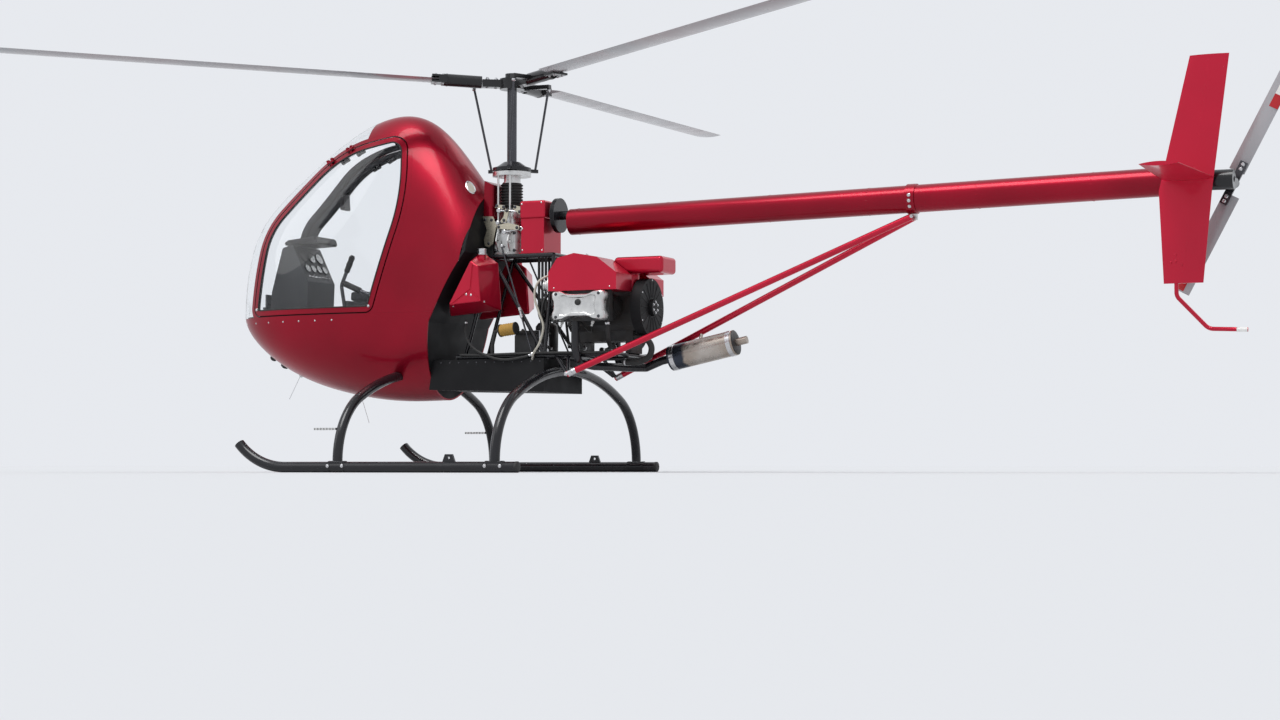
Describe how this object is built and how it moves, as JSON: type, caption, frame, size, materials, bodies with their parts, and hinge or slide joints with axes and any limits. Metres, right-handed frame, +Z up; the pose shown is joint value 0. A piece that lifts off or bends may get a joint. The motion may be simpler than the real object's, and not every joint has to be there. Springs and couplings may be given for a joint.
{
  "type": "light helicopter",
  "caption": "Light single-place helicopter with an egg-shaped cabin, open engine bay, tubular tail boom and skid landing gear.",
  "frame": {"origin": "middle of the footprint of the whole aircraft's box, on the ground that the skids stand on", "axes": "+X towards the nose along the fuselage, +Y to port, +Z up"},
  "size_m": [7.2891, 5.217, 2.417],
  "materials": {
    "candy_red_paint": "glossy clear-coated dark red",
    "clear_glazing": "clear polished acrylic",
    "black_tube_paint": "satin black",
    "bare_aluminium": "cast and machined",
    "engine_casting": "dark coated casting",
    "dark_steel": "dark oiled steel",
    "grip_black": "gloss black",
    "blade_grey": "painted composite skin",
    "tail_blade_paint": "painted composite skin",
    "muffler_steel": "heat-tinted stainless steel",
    "panel_grey": "textured grey",
    "seat_shell_black": "moulded black",
    "seat_cloth": "dark woven cover"
  },
  "bodies": {
    "airframe": {"hull": "candy_red_paint", "windshield": "clear_glazing", "canopy_frame": "candy_red_paint", "roof_shell": "candy_red_paint", "floor_panel": "bare_aluminium", "firewall": "black_tube_paint", "instrument_panel": "panel_grey", "seat_frame": "seat_shell_black", "seat_cushion": "seat_cloth", "back_cushion": "seat_cloth", "control_stick": "dark_steel", "collective_lever": "dark_steel", "pedals": "dark_steel", "fuel_tank_port": "candy_red_paint", "fuel_tank_starboard": "candy_red_paint", "lower_frame": "black_tube_paint", "belly_pan": "black_tube_paint", "front_cross_tube": "black_tube_paint", "rear_cross_tube": "black_tube_paint", "port_skid": "black_tube_paint", "starboard_skid": "black_tube_paint", "foot_pegs": "bare_aluminium", "engine_block": "engine_casting", "cylinders": "engine_casting", "valve_covers": "bare_aluminium", "engine_cowls": "candy_red_paint", "airbox": "candy_red_paint", "fan_housing": "black_tube_paint", "exhaust_pipe": "black_tube_paint", "muffler": "muffler_steel", "main_gearbox": "bare_aluminium", "belt_housing": "candy_red_paint", "drive_pulley": "black_tube_paint", "mast_fairing": "candy_red_paint", "control_cranks": "bare_aluminium", "swashplate_lower": "bare_aluminium", "tail_boom": "candy_red_paint", "brace_clamp": "bare_aluminium", "boom_brace_port": "candy_red_paint", "boom_brace_starboard": "candy_red_paint", "fin": "candy_red_paint", "stabiliser": "candy_red_paint", "tail_gearbox": "black_tube_paint", "tail_guard": "candy_red_paint"},
    "main_rotor": {"mast": "dark_steel", "rotor_hub": "dark_steel", "blade_grips": "grip_black", "swashplate_upper": "black_tube_paint", "pitch_links": "dark_steel", "main_blade_1": "blade_grey", "main_blade_2": "blade_grey", "main_blade_3": "blade_grey"},
    "tail_rotor": {"tail_hub": "dark_steel", "tail_blades": "tail_blade_paint"},
    "port_door_panel": {"port_door": "candy_red_paint", "port_door_glass": "clear_glazing"},
    "starboard_door_panel": {"starboard_door": "candy_red_paint", "starboard_door_glass": "clear_glazing"}
  },
  "joints": [
    {"name": "main_rotor_spin", "type": "hinge", "parent": "airframe", "child": "main_rotor", "pos_m": [0.768, 0.736, 2], "axis": [0, 0, 1], "continuous": true},
    {"name": "tail_rotor_spin", "type": "hinge", "parent": "airframe", "child": "tail_rotor", "pos_m": [-3.332, 0.571, 1.495], "axis": [0, 1, 0], "continuous": true},
    {"name": "port_door_hinge", "type": "hinge", "parent": "airframe", "child": "port_door_panel", "pos_m": [1.814, 0.93, 1.873], "axis": [0.891, 0, -0.454], "range_deg": [0, 75]},
    {"name": "starboard_door_hinge", "type": "hinge", "parent": "airframe", "child": "starboard_door_panel", "pos_m": [1.814, 0.542, 1.873], "axis": [-0.891, 0, 0.454], "range_deg": [0, 75]}
  ],
  "couplings": [
    {"joint": "tail_rotor_spin", "follows": "main_rotor_spin", "ratio": 5.5}
  ]
}
